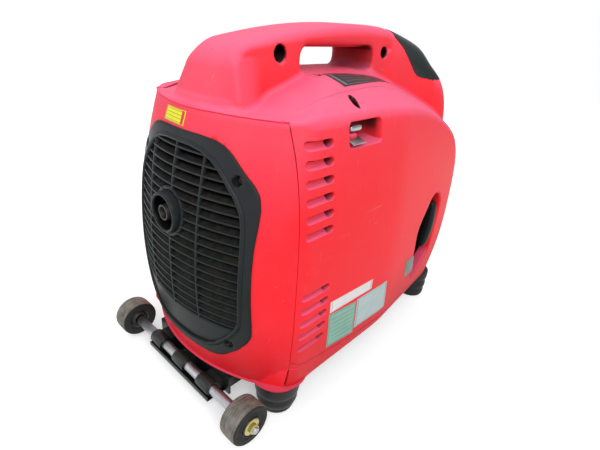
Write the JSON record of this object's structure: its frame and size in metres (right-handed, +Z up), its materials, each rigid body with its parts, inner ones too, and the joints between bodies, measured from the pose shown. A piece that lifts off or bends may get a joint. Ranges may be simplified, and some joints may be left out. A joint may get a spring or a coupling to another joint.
{
  "type": "portable generator",
  "caption": "Suitcase-style portable inverter generator with a carrying handle, a rear exhaust grille, a side recoil starter and a two-wheel axle kit.",
  "frame": {"origin": "on the floor, under the middle of the generator's bounding box", "axes": "+X towards the control panel, -X towards the exhaust grille and wheels, -Y towards the recoil starter, +Z up"},
  "size_m": [0.5166, 0.298, 0.446],
  "materials": {
    "red_plastic": "moulded, fine texture",
    "black_plastic": "moulded, fine texture",
    "black_gloss": "polished moulding",
    "panel_plastic": "satin",
    "white_plastic": "moulded",
    "green_lens": "clear lens",
    "yellow_plastic": "moulded",
    "rubber": "moulded",
    "tyre": "worn",
    "hub_grey": "moulded",
    "zinc_steel": "zinc plated",
    "yellow_zinc": "yellow zinc plated",
    "steel": "plain",
    "black_steel": "satin black paint",
    "cast_alloy": "as cast",
    "copper_winding": "lacquered winding",
    "rope": "braided"
  },
  "bodies": {
    "housing": {"rear_cover": "red_plastic", "near_side_cover": "red_plastic", "far_side_cover": "red_plastic", "near_top_half": "red_plastic", "far_top_half": "red_plastic", "front_cover": "red_plastic", "panel_hood": "black_gloss", "base_pan": "black_plastic", "rear_grille": "black_plastic", "cover_screws": "steel", "exhaust_outlet": "black_plastic", "muffler": "steel", "exhaust_pipe": "steel", "control_panel": "panel_plastic", "ac_sockets": "black_gloss", "dc_socket": "black_gloss", "eco_switch_frame": "black_plastic", "indicator_lamps": "green_lens", "earth_terminal": "zinc_steel", "fuel_tank": "black_steel", "tank_frame": "black_steel", "recoil_pocket": "black_plastic", "recoil_housing": "black_plastic", "crankcase": "cast_alloy", "crank_bearings": "steel", "alternator_stator": "copper_winding", "fan_shroud": "black_plastic", "cylinder": "cast_alloy", "cylinder_head": "cast_alloy", "spark_plug": "white_plastic", "carburettor": "cast_alloy", "air_cleaner": "black_plastic", "oil_filler_cap": "yellow_plastic", "inverter_module": "cast_alloy", "engine_mounts": "rubber", "wheel_bracket": "black_steel", "axle_clamps": "black_steel", "axle_tube": "zinc_steel", "wheel_bolts": "yellow_zinc", "foot_pedestals": "red_plastic", "rear_feet": "rubber", "front_feet": "rubber"},
    "near_wheel": {"near_tyre": "tyre", "near_hub": "hub_grey"},
    "far_wheel": {"far_tyre": "tyre", "far_hub": "hub_grey"},
    "lever": {"fuel_lever": "zinc_steel"},
    "starter_grip": {"recoil_grip": "rubber", "recoil_rope": "rope"},
    "starter_pulley": {"recoil_pulley": "white_plastic"},
    "start_switch": {"engine_switch": "black_plastic"},
    "economy_rocker": {"eco_switch": "red_plastic"},
    "reset_button": {"breaker_button": "white_plastic"},
    "tank_cap": {"fuel_cap": "black_plastic"},
    "cap_vent": {"vent_lever": "black_plastic"},
    "maintenance_lid": {"service_cover": "red_plastic", "service_cover_screw": "zinc_steel"},
    "rotating_group": {"crankshaft": "steel", "alternator_rotor": "steel", "cooling_fan": "black_plastic"}
  },
  "joints": [
    {"name": "near_wheel_spin", "type": "hinge", "parent": "housing", "child": "near_wheel", "pos_m": [-0.2327, -0.1255, 0.0353], "axis": [0, 1, 0], "continuous": true},
    {"name": "far_wheel_spin", "type": "hinge", "parent": "housing", "child": "far_wheel", "pos_m": [-0.2327, 0.1255, 0.0353], "axis": [0, 1, 0], "continuous": true},
    {"name": "lever_slide", "type": "slide", "parent": "housing", "child": "lever", "axis": [1, 0, 0], "range_m": [0, 0.026]},
    {"name": "grip_pull", "type": "slide", "parent": "housing", "child": "starter_grip", "axis": [0, -1, 0], "range_m": [0, 0.5]},
    {"name": "pulley_turn", "type": "hinge", "parent": "housing", "child": "starter_pulley", "pos_m": [0.1573, 0, 0.12], "axis": [1, 0, 0], "range_deg": [0, 717.2]},
    {"name": "switch_turn", "type": "hinge", "parent": "housing", "child": "start_switch", "pos_m": [0.2323, -0.046, 0.222], "axis": [1, 0, 0], "range_deg": [0, 60]},
    {"name": "economy_rock", "type": "hinge", "parent": "housing", "child": "economy_rocker", "pos_m": [0.2263, 0.046, 0.224], "axis": [0, 1, 0], "range_deg": [0, 16]},
    {"name": "reset_push", "type": "slide", "parent": "housing", "child": "reset_button", "axis": [-1, 0, 0], "range_m": [0, 0.003], "stiffness_N_per_m": 300},
    {"name": "cap_turn", "type": "hinge", "parent": "housing", "child": "tank_cap", "pos_m": [-0.0477, 0.066, 0.404], "axis": [0, 0, 1], "range_deg": [0, 120]},
    {"name": "vent_turn", "type": "hinge", "parent": "tank_cap", "child": "cap_vent", "pos_m": [-0.0477, 0.066, 0.418], "axis": [0, 0, 1], "range_deg": [0, 90]},
    {"name": "lid_lift", "type": "slide", "parent": "housing", "child": "maintenance_lid", "axis": [0, 1, 0], "range_m": [0, 0.06]},
    {"name": "crank_spin", "type": "hinge", "parent": "housing", "child": "rotating_group", "pos_m": [-0.0157, 0, 0.12], "axis": [1, 0, 0], "continuous": true}
  ],
  "couplings": [
    {"joint": "pulley_turn", "follows": "grip_pull", "rad_per_m": 25}
  ]
}
